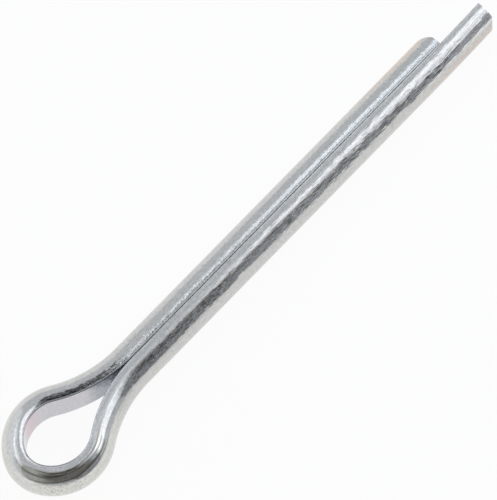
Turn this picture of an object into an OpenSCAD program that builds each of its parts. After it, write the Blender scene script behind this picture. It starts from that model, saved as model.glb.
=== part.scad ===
// Split cotter pin, folded from one length of half-round wire.
// The flat of the wire lines the eye and the split between the legs, and its round side faces out.
// The pin lies on its side. +X runs along the shank to the tips, +Y points to the short leg,
// and +Z is square to the plane of the eye. The origin is on the axis, where the straight shank starts.

/* [Wire] */
// Diameter of the closed shank, both legs together
shank_d = 3.75; // [3:0.05:4.5]
// Rounding of the two edges where the flat of the wire meets its round side
edge_r = 0.1; // [0.05:0.01:0.3]

/* [Legs] */
// Length of the pin, from its seat on the rim of the hole to the tip of the short leg
pin_l = 38.1; // [25:0.1:60]
// Play of the shank in the hole that the pin is made for, on the diameter
hole_play = 0.62; // [0.3:0.01:1]
// Gap between the flats of the two legs along the shank
leg_gap = 0.03; // [0.02:0.01:0.2]
// How far the long leg runs past the tip of the short one
prong_l = 4.55; // [2:0.05:8]
// Length over which the long leg leans in before it reaches the tip of the short one
lean_l = 3.5; // [2:0.5:16]
// Gap left between the leaning leg and the tip of the short one
tip_gap = 0.01; // [0.005:0.005:0.015]

/* [Eye] */
// Width inside the eye, between the flats of its sides
eye_w = 5; // [4:0.05:6]
// Angle between the shank and the flanks of the eye
flank_a = 33; // [26:0.5:40]
// How much larger the radius of the eye's sides is than half its width
side_swell = 0.58; // [0.3:0.01:0.9]
// Angle from the axis at which the eye's sides run into its nose
nose_a = 28; // [20:0.5:40]

/* [Cut ends] */
// How much larger the rounding of a cut end is than the radius of the shank
end_swell = 0.22; // [0.1:0.01:0.6]
// Depth from the round side at which the rounding of the short leg's end starts
short_end_depth = 1.05; // [0.3:0.05:1.2]
// Depth from the round side at which the rounding of the long leg's end starts
long_end_depth = 0.4; // [0.2:0.05:1.2]

/* [Hidden] */

$fn = 96;

// Whole steps in which bends and edges are placed, before what is left of their place
place_step = 0.01;

shank_r = shank_d / 2;
flat_y = leg_gap / 2;

// Centre of the rounding of a wire edge
edge_y = flat_y + edge_r;
edge_z = sqrt(pow(shank_r - edge_r, 2) - pow(edge_y, 2));

// The eye's neck, side and nose are arcs that run into each other without a kink
eye_r = eye_w / 2;
side_r = eye_r + side_swell;
neck_r = (eye_r - flat_y) / (1 - cos(flank_a)) - side_r;
neck_c = [0, flat_y + neck_r];
side_c = neck_c - (neck_r + side_r) * [sin(flank_a), cos(flank_a)];
nose_r = side_r - side_swell / sin(nose_a);
nose_c = [side_c.x - side_swell / tan(nose_a), 0];

// The pin seats where the outside of its necks is as wide as the hole
neck_out_r = neck_r - shank_r;
seat_a = acos(1 - hole_play / 2 / neck_out_r);
short_l = pin_l - neck_out_r * sin(seat_a);

// The long leg leans in on a wide arc that all but closes on the tip of the short leg
lean_in = leg_gap - tip_gap;
lean_r = (pow(lean_l, 2) + pow(lean_in, 2)) / (2 * lean_in);
lean_a = asin((lean_l + prong_l) / lean_r);
lean_x = short_l - lean_l;

// Moves by whole steps and then by the rest, so that neighbouring bends meet to the last digit
module place(at) {
    whole = [for (v = at) place_step * round(v / place_step)];
    translate(whole)
        translate(at - whole)
            children();
}

// Wedge from the centre of an edge's rounding, between the flat and the ray out through that centre
module edge_wedge(side) {
    place([edge_y, side * edge_z])
        polygon([
            [0, 0],
            [-edge_y, 0],
            [-edge_y, side * shank_d],
            [edge_y, side * edge_z]
        ]);
}

// Half-round section of the wire: +X points from the flat to the round side, the shank's axis is at 0
module wire_section() {
    difference() {
        intersection() {
            circle(r = shank_r);
            translate([flat_y, -shank_r])
                square([shank_r, shank_d]);
        }
        for (side = [-1, 1])
            edge_wedge(side);
    }
    for (side = [-1, 1])
        intersection() {
            edge_wedge(side);
            place([edge_y, side * edge_z])
                circle(r = edge_r);
        }
}

// Straight wire along +X, its round side towards +Y and the shank's axis on the X axis
module straight_wire(length) {
    rotate([90, 0, 90])
        linear_extrude(height = length)
            wire_section();
}

// Wire bent about the Z axis with its flat on the inside of the bend
module bend_round_out(flat_r, start_a, turn_a) {
    rotate_extrude(angle = turn_a, start = start_a)
        place([flat_r - flat_y, 0])
            wire_section();
}

// Wire bent about the Z axis with its flat on the outside of the bend
module bend_round_in(flat_r, start_a, turn_a) {
    rotate_extrude(angle = turn_a, start = start_a)
        place([flat_r + flat_y, 0])
            mirror([1, 0])
                wire_section();
}

// Room inside which a wire lies that ends at the origin, coming along +X with its round side to +Y:
// it is sheared square, and the corner on its round side is rounded off
module end_room(length, end_depth) {
    end_r = shank_r + end_swell;
    square_h = shank_r - end_depth;
    round_l = sqrt(pow(end_r, 2) - pow(square_h, 2));
    translate([0, 0, -shank_d])
        linear_extrude(height = 2 * shank_d)
            intersection() {
                union() {
                    translate([-length - shank_d, -shank_d])
                        square([length + shank_d - round_l, 2 * shank_d]);
                    translate([-round_l, 0])
                        circle(r = end_r);
                }
                translate([-length - shank_d, -shank_d])
                    square([length + shank_d, 2 * shank_d]);
            }
}

// One side of the eye, from the shank to the nose
module eye_side() {
    place(neck_c)
        bend_round_in(neck_r, 270 - flank_a, flank_a);
    place(side_c)
        bend_round_out(side_r, 90 - flank_a, 90 + flank_a - nose_a);
}

module nose() {
    place(nose_c)
        bend_round_out(nose_r, 180 - nose_a, 2 * nose_a);
}

module short_leg() {
    intersection() {
        straight_wire(short_l);
        translate([short_l, 0])
            end_room(short_l, short_end_depth);
    }
}

// The long leg is drawn on the +Y side, as the short one is, and mirrored into place
module long_leg() {
    straight_wire(lean_x);
    translate([lean_x, 0])
        intersection() {
            place([0, flat_y - lean_r])
                mirror([1, 0, 0])
                    bend_round_out(lean_r, 90, lean_a);
            place([0, flat_y - lean_r])
                rotate(-lean_a)
                    place([0, lean_r - flat_y])
                        end_room(lean_l + prong_l, long_end_depth);
        }
}

module cotter_pin() {
    color([0.74, 0.76, 0.79]) {
        short_leg();
        eye_side();
        nose();
        mirror([0, 1, 0]) {
            eye_side();
            long_leg();
        }
    }
}

cotter_pin();
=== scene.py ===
# Split cotter pin: one half-round wire folded into an eye and two legs, with a bright zinc finish that
# carries painted light, shade and reflections.
import math

import bmesh
import bpy
from mathutils import Matrix, Vector


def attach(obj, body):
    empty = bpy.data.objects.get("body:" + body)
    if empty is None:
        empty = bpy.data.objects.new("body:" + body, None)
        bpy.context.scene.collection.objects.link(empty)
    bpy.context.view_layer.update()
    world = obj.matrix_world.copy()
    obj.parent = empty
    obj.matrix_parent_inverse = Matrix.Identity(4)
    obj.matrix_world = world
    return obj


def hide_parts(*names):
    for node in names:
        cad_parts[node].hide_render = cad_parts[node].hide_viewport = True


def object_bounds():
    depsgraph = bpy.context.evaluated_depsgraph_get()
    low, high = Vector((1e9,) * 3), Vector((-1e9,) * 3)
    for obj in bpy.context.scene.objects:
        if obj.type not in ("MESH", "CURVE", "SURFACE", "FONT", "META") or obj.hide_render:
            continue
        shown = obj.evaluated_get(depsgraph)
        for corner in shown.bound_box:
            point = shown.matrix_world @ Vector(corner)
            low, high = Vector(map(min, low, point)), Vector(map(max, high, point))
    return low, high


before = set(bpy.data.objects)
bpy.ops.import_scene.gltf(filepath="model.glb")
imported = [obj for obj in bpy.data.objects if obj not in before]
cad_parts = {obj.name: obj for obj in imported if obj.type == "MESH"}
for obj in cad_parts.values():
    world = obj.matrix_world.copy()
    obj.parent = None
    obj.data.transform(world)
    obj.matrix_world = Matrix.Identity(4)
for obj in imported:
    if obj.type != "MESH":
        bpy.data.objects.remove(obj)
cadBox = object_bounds()
mm = 0.001


# The wire

pin = {  # sizes in mm and degrees, as in the CAD
    "shankDiameter": 3.75,
    "edgeRadius": 0.1,  # where the flat meets the round side
    "length": 38.1,  # seat to short tip
    "holePlay": 0.62,
    "legGap": 0.03,
    "prong": 4.55,  # long leg past the short one
    "lean": 3.5,  # stretch over which the long leg leans in
    "tipGap": 0.01,
    "eyeWidth": 5.0,
    "flankAngle": 33.0,
    "sideSwell": 0.58,
    "noseAngle": 28.0,
    "endSwell": 0.22,
    "shortEndDepth": 1.05,
    "longEndDepth": 0.4,
    "roundSteps": 72,  # mesh steps round the section
    "cornerSteps": 6,
    "flatSteps": 12,
    "tipSteps": (3.0, 6),  # length of the short tip that is rounded, and mesh steps along it
    "legSteps": (40, 30),  # short leg and long leg
    "neckSteps": 20,
    "sideSteps": 48,
    "noseSteps": 32,
    "leanSteps": 24,
    "endFacets": 14,
    "endReach": 3.4,  # how far from a tip its rounding cuts
    "cutTolerance": 1e-6,
    "smoothAngle": 35.0,  # sharper edges stay sharp
    "squeeze": (1.0, 0.9986, 0.9999),  # keeps the smooth eye inside the faceted CAD box
}

shankR = pin["shankDiameter"] / 2
flatOut = pin["legGap"] / 2
edgeOut = flatOut + pin["edgeRadius"]
edgeUp = math.sqrt((shankR - pin["edgeRadius"]) ** 2 - edgeOut ** 2)
eyeR = pin["eyeWidth"] / 2
sideR = eyeR + pin["sideSwell"]
neckR = (eyeR - flatOut) / (1 - math.cos(math.radians(pin["flankAngle"]))) - sideR
noseR = sideR - pin["sideSwell"] / math.sin(math.radians(pin["noseAngle"]))
neckOutR = neckR - shankR
seatAngle = math.acos(1 - pin["holePlay"] / 2 / neckOutR)
shortLeg = pin["length"] - neckOutR * math.sin(seatAngle)
leanIn = pin["legGap"] - pin["tipGap"]
leanR = (pin["lean"] ** 2 + leanIn ** 2) / (2 * leanIn)
leanTurn = math.degrees(math.asin((pin["lean"] + pin["prong"]) / leanR))
sideTurn = 90 + pin["flankAngle"] - pin["noseAngle"]
endR = shankR + pin["endSwell"]


def wireSection(bm):  # half-round face in the XY plane, +X from the flat to the round side
    reach = math.atan2(edgeUp, edgeOut)
    first = last = bmesh.ops.create_vert(bm, co=(flatOut, -edgeUp, 0))["vert"][0]
    arcs = [
        ((edgeOut, -edgeUp, 0), math.pi - reach, pin["cornerSteps"]),
        ((0, 0, 0), 2 * reach, pin["roundSteps"]),
        ((edgeOut, edgeUp, 0), math.pi - reach, pin["cornerSteps"]),
    ]
    for centre, turn, steps in arcs:
        spun = bmesh.ops.spin(bm, geom=[last], cent=centre, axis=(0, 0, 1), angle=turn, steps=steps)
        last = next(g for g in spun["geom_last"] if isinstance(g, bmesh.types.BMVert))
    flat = bmesh.ops.contextual_create(bm, geom=[last, first])["edges"]
    bmesh.ops.subdivide_edges(bm, edges=flat, cuts=pin["flatSteps"] - 1)
    return bmesh.ops.contextual_create(bm, geom=bm.edges[:])["faces"][0]


def pull(bm, face, layer, matrix, along):  # draws the wire's end face on by one step
    inside = len(face.edges[0].link_faces) > 1
    made = bmesh.ops.extrude_face_region(bm, geom=[face])["geom"]
    verts = [g for g in made if isinstance(g, bmesh.types.BMVert)]
    bmesh.ops.transform(bm, matrix=matrix, verts=verts)
    if inside:
        bmesh.ops.delete(bm, geom=[face], context="FACES_ONLY")
    for v in verts:
        v[layer] = v[layer] + Vector((along, 0, 0))
    return next(g for g in made if isinstance(g, bmesh.types.BMFace))


class Wire:  # the end of the wire as it is drawn: where it is and which way it heads
    def __init__(self, place, heading):
        self.place = Vector((place[0], place[1], 0))
        self.heading = heading
        self.run = 0.0

    def ahead(self):
        turn = math.radians(self.heading)
        return Vector((math.cos(turn), math.sin(turn), 0))

    def out(self):  # from the flat to the round side
        ahead = self.ahead()
        return Vector((ahead.y, -ahead.x, 0))

    def straight(self, bm, face, layer, length, steps):
        move = Matrix.Translation(self.ahead() * length / steps)
        for i in range(steps):
            face = pull(bm, face, layer, move, length / steps)
        self.place += self.ahead() * length
        self.run += length
        return face

    def bend(self, bm, face, layer, centreOut, turn, steps):  # centreOut: from the axis to the bend's centre
        centre = self.place + self.out() * centreOut
        step = Matrix.Rotation(math.radians(turn) / steps, 4, "Z")
        move = Matrix.Translation(centre) @ step @ Matrix.Translation(-centre)
        length = abs(math.radians(turn) * (shankR / 2 - centreOut))
        for i in range(steps):
            face = pull(bm, face, layer, move, length / steps)
        self.place = centre + Matrix.Rotation(math.radians(turn), 3, "Z") @ (self.place - centre)
        self.heading += turn
        self.run += length
        return face


def roundEnd(bm, tip, ahead, out, endDepth):  # rounds the outer corner of a square cut
    squareHeight = shankR - endDepth
    start, stop = math.asin(squareHeight / endR), math.asin(shankR / endR)
    centre = tip - ahead * math.sqrt(endR ** 2 - squareHeight ** 2)
    for i in range(pin["endFacets"]):
        angle = start + (stop - start) * (i + 0.5) / pin["endFacets"]
        normal = ahead * math.cos(angle) + out * math.sin(angle)
        faces = [f for f in bm.faces if (f.calc_center_median() - tip).length < pin["endReach"]]
        geom = set(faces)
        for f in faces:
            geom.update(f.verts, f.edges)
        cut = bmesh.ops.bisect_plane(
            bm, geom=list(geom), dist=pin["cutTolerance"],
            plane_co=centre + normal * endR, plane_no=normal, clear_outer=True,
        )["geom_cut"]
        edges = [g for g in cut if isinstance(g, bmesh.types.BMEdge) and g.is_boundary]
        if edges:
            bmesh.ops.edgeloop_fill(bm, edges=edges)


def buildPin():
    bm = bmesh.new()
    layer = bm.verts.layers.float_vector.new("wirePoint")  # where a point lies on the unbent wire
    face = wireSection(bm)
    for v in bm.verts:
        v[layer] = Vector((0, v.co.x, v.co.y))
    wire = Wire((shortLeg, 0), 180)
    toWorld = Matrix(((0, 0, 1, shortLeg), (1, 0, 0, 0), (0, 1, 0, 0), (0, 0, 0, 1)))
    bmesh.ops.transform(bm, matrix=toWorld, verts=bm.verts)
    tip, tipSteps = pin["tipSteps"]
    shortSteps, longSteps = pin["legSteps"]
    face = wire.straight(bm, face, layer, tip, tipSteps)
    roundEnd(bm, Vector((shortLeg, 0, 0)), Vector((1, 0, 0)), Vector((0, 1, 0)), pin["shortEndDepth"])
    face = wire.straight(bm, face, layer, shortLeg - tip, shortSteps)
    neck = (flatOut + neckR, -pin["flankAngle"], pin["neckSteps"])
    side = (flatOut - sideR, sideTurn, pin["sideSteps"])
    nose = (flatOut - noseR, 2 * pin["noseAngle"], pin["noseSteps"])
    for centreOut, turn, steps in (neck, side, nose, side, neck):
        face = wire.bend(bm, face, layer, centreOut, turn, steps)
    face = wire.straight(bm, face, layer, shortLeg - pin["lean"], longSteps)
    wire.bend(bm, face, layer, flatOut - leanR, leanTurn, pin["leanSteps"])
    roundEnd(bm, wire.place, wire.ahead(), wire.out(), pin["longEndDepth"])
    bmesh.ops.scale(bm, vec=Vector(pin["squeeze"]) * mm, verts=bm.verts)
    bmesh.ops.recalc_face_normals(bm, faces=bm.faces)
    for f in bm.faces:
        f.smooth = True
    mesh = bpy.data.meshes.new("pinWire")
    bm.to_mesh(mesh)
    bm.free()
    mesh.set_sharp_from_angle(angle=math.radians(pin["smoothAngle"]))
    pinObject = bpy.data.objects.new("pinWire", mesh)
    bpy.context.scene.collection.objects.link(pinObject)
    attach(pinObject, "root")
    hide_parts("cotter_pin")
    return pinObject, wire.run


pinWire, wireLength = buildPin()
print("pin wire:", len(pinWire.data.polygons), "faces,", round(wireLength, 1), "mm of wire")


# The finish, with painted light, shade and reflections

finish = {  # bright zinc plate, with painted light, shade and reflections among its tints and specks; places and lengths are in mm along, out of and up the unbent wire
    "steel": (0.618, 0.613, 0.600, 1),
    "mottle": 0.14,  # how much the plate's brightness wanders
    "mottleWaves": (4.0, 5.5, 5.5),  # a mm
    "mottleRange": (0.25, 0.75),  # of the noise
    "roughness": 0.10,
    "roughnessSpread": 0.08,
    "roughnessRange": (0.3, 0.7),
    "marks": [  # waves a mm along and across the wire, and depth
        (0.5, 5.0, 0.005),  # drawing lines
        (3.5, 9.0, 0.004),  # grain of the plate
    ],
    "facets": ((5.0, 11.0, 11.0), (0.02, 0.09, 0.09)),  # crystals a mm, and how far they tilt
    "grainPace": (40.0, 1.6, 0.33),  # end of the finer first stretch, and how fine both are along the wire
    # the eye is smoothed by the bending: its stretch, its height, and the share of marks and roughness left
    "eye": ((39.0, 67.0, 1.5), (-1.0, 3.0, 0.1), 0.45),
    "ragged": ((0.9, 0.9, 0.9), (1.6, 0.08, 0.0)),  # waves a mm in the edges of the tints, and their reach
    "detail": {"marks": 2.0, "ragged": 2.0, "specks": 1.0, "mottle": 3.0},  # octaves of the noises
    "tintsAndPaintedLight": [  # colours of the plate, and painted light, shade and reflections: stretch of wire and its fade, height out of the flat and its fade, colour
        ((37.0, 70.0, 1.5), (-0.2, 0.17, 0.15), (0.585, 0.573, 0.607, 1)),  # lilac painted reflection of the shaded floor on the flat inside the eye
        ((43.8, 47.5, 1.5), (-0.2, 0.17, 0.15), (0.622, 0.500, 0.540, 1)),  # rose painted reflection of the floor on the flat inside the eye
        ((34.5, 40.0, 1.5), (-0.2, 0.17, 0.15), (0.324, 0.354, 0.399, 1)),  # blue-grey painted shade in the crotch
        ((42.0, 62.0, 4.0), (1.25, 2.2, 0.3), (0.686, 0.680, 0.650, 1)),  # painted highlight: lighter outside of the nose
        ((48.5, 60.0, 3.0), (0.45, 1.45, 0.2), (0.740, 0.733, 0.710, 1)),  # painted light: lighter ground under the nose's streaks, narrowing its dark reflection band
        ((36.5, 44.0, 1.5), (0.0, 0.6, 0.15), (0.440, 0.436, 0.427, 1)),  # painted dark reflection along the inner edge of the first flank
        ((58.5, 76.0, 3.0), (0.65, 1.7, 0.2), (0.545, 0.541, 0.530, 1)),  # painted dark reflection on the neck of the long leg
        ((75.0, 99.0, 5.0), (0.85, 1.5, 0.15), (0.690, 0.684, 0.670, 1)),  # painted highlight along the side of the long leg
        ((95.0, 116.0, 5.0), (0.9, 1.7, 0.2), (0.800, 0.795, 0.780, 1)),  # and brighter still towards its end
        ((-8.0, 9.5, 6.0), (1.15, 2.2, 0.3), (0.670, 0.580, 0.510, 1)),  # straw on the short tip
        ((93.0, 114.0, 7.0), (1.65, 2.2, 0.2), (0.640, 0.575, 0.530, 1)),  # rose on the long tip
        ((-4.0, 37.0, 1.5), (-0.2, 0.13, 0.15), (0.880, 0.880, 0.880, 1)),  # painted light along the split edges of the short leg, lifting the groove's shade
        ((66.5, 101.0, 1.5), (-0.2, 0.13, 0.15), (0.880, 0.880, 0.880, 1)),  # and along the long leg's edges beside it
    ],
    "specks": [  # as the tints, with waves a mm along and across the wire, and threshold
        # stains on the nose
        ((50.0, 57.5, 3.0), (1.15, 2.2, 0.3), (0.400, 0.380, 0.250, 1), (7.0, 7.0), 0.64),
        # dark streaks in the long leg's and the nose's dark bands: painted dark reflection, streaked like the
        # plate's grain
        ((74.0, 108.0, 10.0), (0.78, 1.70, 0.25), (0.290, 0.281, 0.262, 1), (1.1, 11.0), 0.55),
        ((48.5, 60.0, 3.0), (0.45, 1.45, 0.2), (0.330, 0.318, 0.270, 1), (0.3, 5.5), 0.48),
        # grain of the plate in the dark bands of the long leg's neck and of the first flank, painted darker
        # as dark reflection
        ((60.0, 77.0, 4.0), (0.70, 1.60, 0.25), (0.250, 0.244, 0.226, 1), (2.6, 9.0), 0.55),
        ((35.0, 43.5, 2.0), (0.10, 0.78, 0.2), (0.190, 0.185, 0.170, 1), (2.6, 8.0), 0.50),
    ],
    "speckEdge": 0.04,  # softness of the threshold
}

stretchEdges = ("From", "To", "Fade", "Low", "High", "Rise")  # in the order of a tint's first two values


def put(tree, kind, inputs=None, **settings):  # adds a node, and sets or links its inputs
    node = tree.nodes.new("ShaderNode" + kind)
    for name, value in settings.items():
        setattr(node, name, value)
    for name, value in (inputs or {}).items():
        if isinstance(value, bpy.types.NodeSocket):
            tree.links.new(value, node.inputs[name])
        else:
            node.inputs[name].default_value = value
    return node


def calc(tree, operation, *values):
    return put(tree, "Math", dict(enumerate(values)), operation=operation).outputs[0]


def calcVector(tree, operation, *values):
    node = put(tree, "VectorMath", dict(enumerate(values)), operation=operation)
    return node.outputs["Value" if operation == "DOT_PRODUCT" else "Vector"]


def ranged(tree, value, start, end, low=0.0, high=1.0, **settings):
    return put(tree, "MapRange", {0: value, 1: start, 2: end, 3: low, 4: high}, **settings).outputs[0]


def blend(tree, share, ground, tone):
    return put(tree, "Mix", {0: share, 6: ground, 7: tone}, data_type="RGBA").outputs[2]


def noise(tree, point, waves, detail):
    spot = calcVector(tree, "MULTIPLY", point, waves)
    return put(tree, "TexNoise", {"Vector": spot, "Scale": 1.0, "Detail": detail}).outputs


def newGroup(name, inputs, outputs):
    tree = bpy.data.node_groups.new(name, "ShaderNodeTree")
    for label, kind in inputs:
        tree.interface.new_socket(name=label, in_out="INPUT", socket_type="NodeSocket" + kind)
    for label, kind in outputs:
        tree.interface.new_socket(name=label, in_out="OUTPUT", socket_type="NodeSocket" + kind)
    return tree, tree.nodes.new("NodeGroupInput").outputs, tree.nodes.new("NodeGroupOutput").inputs


def makeDrawnMarks():  # lines along the wire and the grain of the plate
    tree, given, result = newGroup(
        "drawnMarks", [("Point", "Vector")], [("Height", "Float"), ("Lines", "Float")]
    )
    border, finePace, pace = finish["grainPace"]
    parts = put(tree, "SeparateXYZ", {0: given["Point"]}).outputs
    first = calc(tree, "MINIMUM", parts[0], border)
    first = calc(tree, "MULTIPLY", first, finePace - pace)
    run = calc(tree, "MULTIPLY_ADD", parts[0], pace, first)
    spot = put(tree, "CombineXYZ", {0: run, 1: parts[1], 2: parts[2]}).outputs[0]
    height = 0.0
    lines = None
    for along, across, depth in finish["marks"]:
        wave = noise(tree, spot, (along, across, across), finish["detail"]["marks"])[0]
        lines = lines or wave
        height = calc(tree, "MULTIPLY_ADD", wave, depth, height)
    count, tilt = finish["facets"]
    stretched = calcVector(tree, "MULTIPLY", spot, count)
    cells = put(tree, "TexVoronoi", {"Vector": stretched, "Scale": 1.0}).outputs
    lean = calcVector(tree, "MULTIPLY_ADD", cells["Color"], (2, 2, 2), (-1, -1, -1))  # between -1 and 1
    squared = calcVector(tree, "MULTIPLY", lean, lean)
    for i in range(2):  # the fifth power: few facets lean far
        lean = calcVector(tree, "MULTIPLY", squared, lean)
    lean = calcVector(tree, "MULTIPLY", lean, [t / c for t, c in zip(tilt, count)])
    inCell = calcVector(tree, "SUBTRACT", stretched, cells["Position"])
    height = calc(tree, "ADD", height, calcVector(tree, "DOT_PRODUCT", lean, inCell))
    tree.links.new(height, result["Height"])
    tree.links.new(lines, result["Lines"])
    return tree


def makeStretch():  # mask of one stretch of the wire
    tree, given, result = newGroup(
        "wireStretch", [("Point", "Vector")] + [(name, "Float") for name in stretchEdges], [("Mask", "Float")]
    )
    parts = put(tree, "SeparateXYZ", {0: given["Point"]}).outputs
    mask = 1.0
    for value, low, high, fade in ((parts[0], "From", "To", "Fade"), (parts[1], "Low", "High", "Rise")):
        for edge, inwards in ((low, "ADD"), (high, "SUBTRACT")):
            inner = calc(tree, inwards, given[edge], given[fade])
            share = ranged(tree, value, given[edge], inner, interpolation_type="SMOOTHSTEP")
            mask = calc(tree, "MULTIPLY", share, mask)
    tree.links.new(mask, result["Mask"])
    return tree


def makeZinc():
    zinc = bpy.data.materials.new("zincPlate")
    zinc.use_nodes = True
    tree = zinc.node_tree
    tree.nodes.clear()
    detail = finish["detail"]
    point = put(tree, "Attribute", attribute_name="wirePoint").outputs["Vector"]
    marks = put(tree, "Group", {"Point": point}, node_tree=makeDrawnMarks()).outputs
    stretch = makeStretch()
    waves, reach = finish["ragged"]
    drift = noise(tree, point, waves, detail["ragged"])["Color"]
    drift = calcVector(tree, "SUBTRACT", drift, (0.5, 0.5, 0.5))  # to both sides
    ragged = calcVector(tree, "MULTIPLY_ADD", drift, reach, point)

    def maskOf(along, out):
        edges = dict(zip(stretchEdges, along + out))
        return put(tree, "Group", {"Point": ragged, **edges}, node_tree=stretch).outputs["Mask"]

    colour = finish["steel"]
    # paints the tints: colours of the plate, and painted light, shade and reflections
    for along, out, tone in finish["tintsAndPaintedLight"]:
        colour = blend(tree, maskOf(along, out), colour, tone)
    # paints the specks: real stains on the nose, and streaks and grain painted as dark reflection
    for along, out, tone, (lengthwise, across), threshold in finish["specks"]:
        spots = noise(tree, point, (lengthwise, across, across), detail["specks"])[0]
        spots = ranged(tree, spots, threshold, threshold + finish["speckEdge"])
        colour = blend(tree, calc(tree, "MULTIPLY", spots, maskOf(along, out)), colour, tone)
    cloud = noise(tree, point, finish["mottleWaves"], detail["mottle"])[0]
    level = ranged(tree, cloud, *finish["mottleRange"], 1 - finish["mottle"], 1 + finish["mottle"])
    colour = put(tree, "VectorMath", {0: colour, "Scale": level}, operation="SCALE").outputs[0]
    along, out, left = finish["eye"]
    kept = ranged(tree, maskOf(along, out), 0.0, 1.0, 1.0, left)
    low = finish["roughness"] - finish["roughnessSpread"] / 2
    rough = ranged(tree, marks["Lines"], *finish["roughnessRange"], low, low + finish["roughnessSpread"])
    height = calc(tree, "MULTIPLY", marks["Height"], kept)
    shader = put(tree, "BsdfPrincipled", {
        "Base Color": colour,
        "Metallic": 1.0,
        "Roughness": calc(tree, "MULTIPLY", rough, kept),
        "Normal": put(tree, "Bump", {"Height": height, "Strength": 1.0, "Distance": mm}).outputs[0],
    })
    put(tree, "OutputMaterial", {"Surface": shader.outputs[0]})
    return zinc


pinWire.data.materials.append(makeZinc())
print("finish set")


# The studio

studio = {  # directions in degrees: azimuth from +X towards +Y, and height above the floor
    "dome": (0.643, 0.677, 0.717, 1),
    "lobes": [  # soft patches of the dome: azimuth, height, core, rim, colour
        (126.3, 8.1, 39.1, 46.3, (0.933, 0.981, 1.026, 1)),
        (274.4, 21.9, 22.9, 26.0, (0.308, 0.327, 0.359, 1)),
        (155.1, 29.0, 0.2, 25.6, (0.646, 0.662, 0.684, 1)),
        (196.7, 39.2, 30.6, 33.8, (0.404, 0.409, 0.397, 1)),
        (245.0, 45.6, 16.6, 43.0, (0.143, 0.141, 0.135, 1)),
        (225.0, 87.0, 13.5, 18.5, (0.643, 0.677, 0.717, 1)),
        (189.1, -20.0, 12.3, 39.8, (1.130, 1.147, 1.152, 1)),
        (54.5, 43.0, 7.5, 10.5, (0.03, 0.03, 0.03, 1)),
        (31.6, 50.4, 16.3, 25.9, (0.02, 0.02, 0.02, 1)),
        (335.9, 69.4, 1.9, 30.1, (0.870, 0.926, 0.995, 1)),
        (320.0, 78.5, 7.7, 15.8, (0.630, 0.671, 0.717, 1)),
        (336.8, 58.2, 2.8, 6.0, (0.750, 0.759, 0.791, 1)),
    ],
    "lamps": [  # centre in m, width, depth, turn, soft share, colour
        ((0.0858, -0.0475, 0.0708), 0.1180, 0.0940, 31.0, 0.30, (0.810, 0.834, 0.888)),
        ((0.0589, 0.0382, 0.0600), 0.0510, 0.0903, 71.8, 0.598, (0.815, 0.899, 1.010)),
        ((-0.1566, 0.2315, 0.2122), 0.1583, 0.4515, -53.7, 0.948, (0.535, 0.565, 0.622)),
        ((0.0265, 0.2250, 0.3964), 0.1349, 0.3400, -20.1, 0.50, (0.885, 0.940, 1.020)),
    ],
    "floorColour": (0.90, 0.90, 0.89, 1),
    "floorGlow": 0.94,  # share of plain white in what the camera sees
    "mirroredGlow": 0.82,  # and in what the metal mirrors
    "floorSize": 4.0,
}


def aim(azimuth, height):
    a, h = math.radians(azimuth), math.radians(height)
    return (math.cos(a) * math.cos(h), math.sin(a) * math.cos(h), math.sin(h))


def makeDome():
    world = bpy.data.worlds.new("dome")
    world.use_nodes = True
    tree = world.node_tree
    tree.nodes.clear()
    way = put(tree, "TexCoord").outputs["Generated"]
    colour = studio["dome"]
    for azimuth, height, core, rim, tone in studio["lobes"]:
        near = calcVector(tree, "DOT_PRODUCT", way, aim(azimuth, height))
        start, end = math.cos(math.radians(rim)), math.cos(math.radians(core))
        share = ranged(tree, near, start, end, interpolation_type="SMOOTHSTEP")
        colour = blend(tree, share, colour, tone)
    sky = put(tree, "Background", {"Color": colour, "Strength": 1.0})
    put(tree, "OutputWorld", {"Surface": sky.outputs[0]})
    bpy.context.scene.world = world


def makeLamps():
    for i, (place, width, depth, turn, soft, colour) in enumerate(studio["lamps"]):
        lamp = bpy.data.lights.new("softbox%d" % (i + 1), "AREA")
        lamp.shape = "RECTANGLE"
        lamp.size, lamp.size_y = width, depth
        lamp.energy = max(colour) * math.pi * width * depth
        lamp.color = [c / max(colour) for c in colour]
        lamp.use_nodes = True
        tree = lamp.node_tree
        tree.nodes.clear()
        spot = put(tree, "NewGeometry").outputs["Parametric"]
        spot = calcVector(tree, "SUBTRACT", spot, (0.5, 0.5, 0))  # from the panel's middle
        glow = 1.0
        for side in put(tree, "SeparateXYZ", {0: spot}).outputs[:2]:  # the panel fades towards its edges
            off = calc(tree, "ABSOLUTE", side)
            fade = ranged(tree, off, 0.5, 0.5 - soft / 2, interpolation_type="SMOOTHSTEP")
            glow = calc(tree, "MULTIPLY", fade, glow)
        panel = put(tree, "Emission", {"Strength": glow})
        put(tree, "OutputLight", {"Surface": panel.outputs[0]})
        lampObject = bpy.data.objects.new(lamp.name, lamp)
        lampObject.location = place
        lampObject.rotation_euler.z = math.radians(turn)
        lampObject.visible_camera = False
        bpy.context.scene.collection.objects.link(lampObject)


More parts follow.
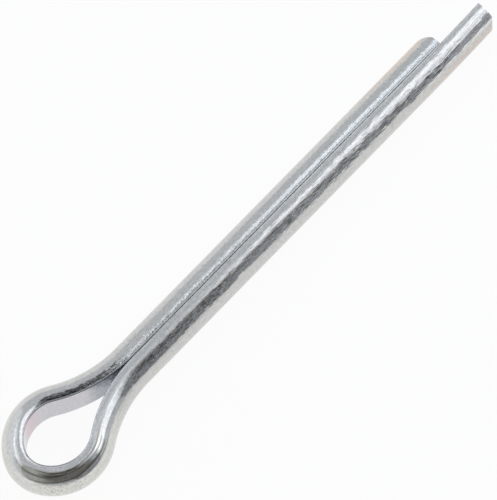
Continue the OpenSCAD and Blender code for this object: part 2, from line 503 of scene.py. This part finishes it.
def makeFloor():
    bm = bmesh.new()
    bmesh.ops.create_grid(bm, x_segments=1, y_segments=1, size=studio["floorSize"] / 2)
    bmesh.ops.translate(bm, vec=(0, 0, cadBox[0].z), verts=bm.verts)
    mesh = bpy.data.meshes.new("floor")
    bm.to_mesh(mesh)
    bm.free()
    floor = bpy.data.objects.new("floor", mesh)
    bpy.context.scene.collection.objects.link(floor)
    white = bpy.data.materials.new("floorWhite")
    white.use_nodes = True
    tree = white.node_tree
    tree.nodes.clear()
    path = put(tree, "LightPath").outputs
    mirrored = calc(tree, "ADD", path["Is Glossy Ray"], path["Is Transmission Ray"])
    mirrored = calc(tree, "MULTIPLY", mirrored, studio["mirroredGlow"])
    seen = {0: path["Is Camera Ray"], 1: studio["floorGlow"], 2: mirrored}
    share = put(tree, "Math", seen, operation="MULTIPLY_ADD", use_clamp=True)
    lit = put(tree, "BsdfDiffuse", {"Color": studio["floorColour"]})
    glow = put(tree, "Emission", {"Color": (1, 1, 1, 1), "Strength": 1.0})
    both = put(tree, "MixShader", {0: share.outputs[0], 1: lit.outputs[0], 2: glow.outputs[0]})
    put(tree, "OutputMaterial", {"Surface": both.outputs[0]})
    mesh.materials.append(white)


makeDome()
makeLamps()
makeFloor()
print("studio set")


# The camera

view = {
    "place": (-0.1521237, -0.1989845, 0.7401218),  # m
    "aim": (0.0125602, -0.0008729, 0.0025701),
    "roll": -7.4085,  # degrees
    "lens": 715.83,  # mm
    "sensor": 36.0,
    "clip": (0.05, 20.0),  # m
}

camera = bpy.data.objects.new("camera", bpy.data.cameras.new("camera"))
bpy.context.scene.collection.objects.link(camera)
bpy.context.scene.camera = camera
camera.data.lens = view["lens"]
camera.data.sensor_width = view["sensor"]
camera.data.clip_start, camera.data.clip_end = view["clip"]
camera.location = view["place"]
sight = (Vector(view["aim"]) - Vector(view["place"])).to_track_quat("-Z", "Y").to_matrix()
camera.rotation_euler = (sight @ Matrix.Rotation(math.radians(view["roll"]), 3, "Z")).to_euler()
print("camera set")

bpy.context.scene.view_settings.view_transform = "Standard"
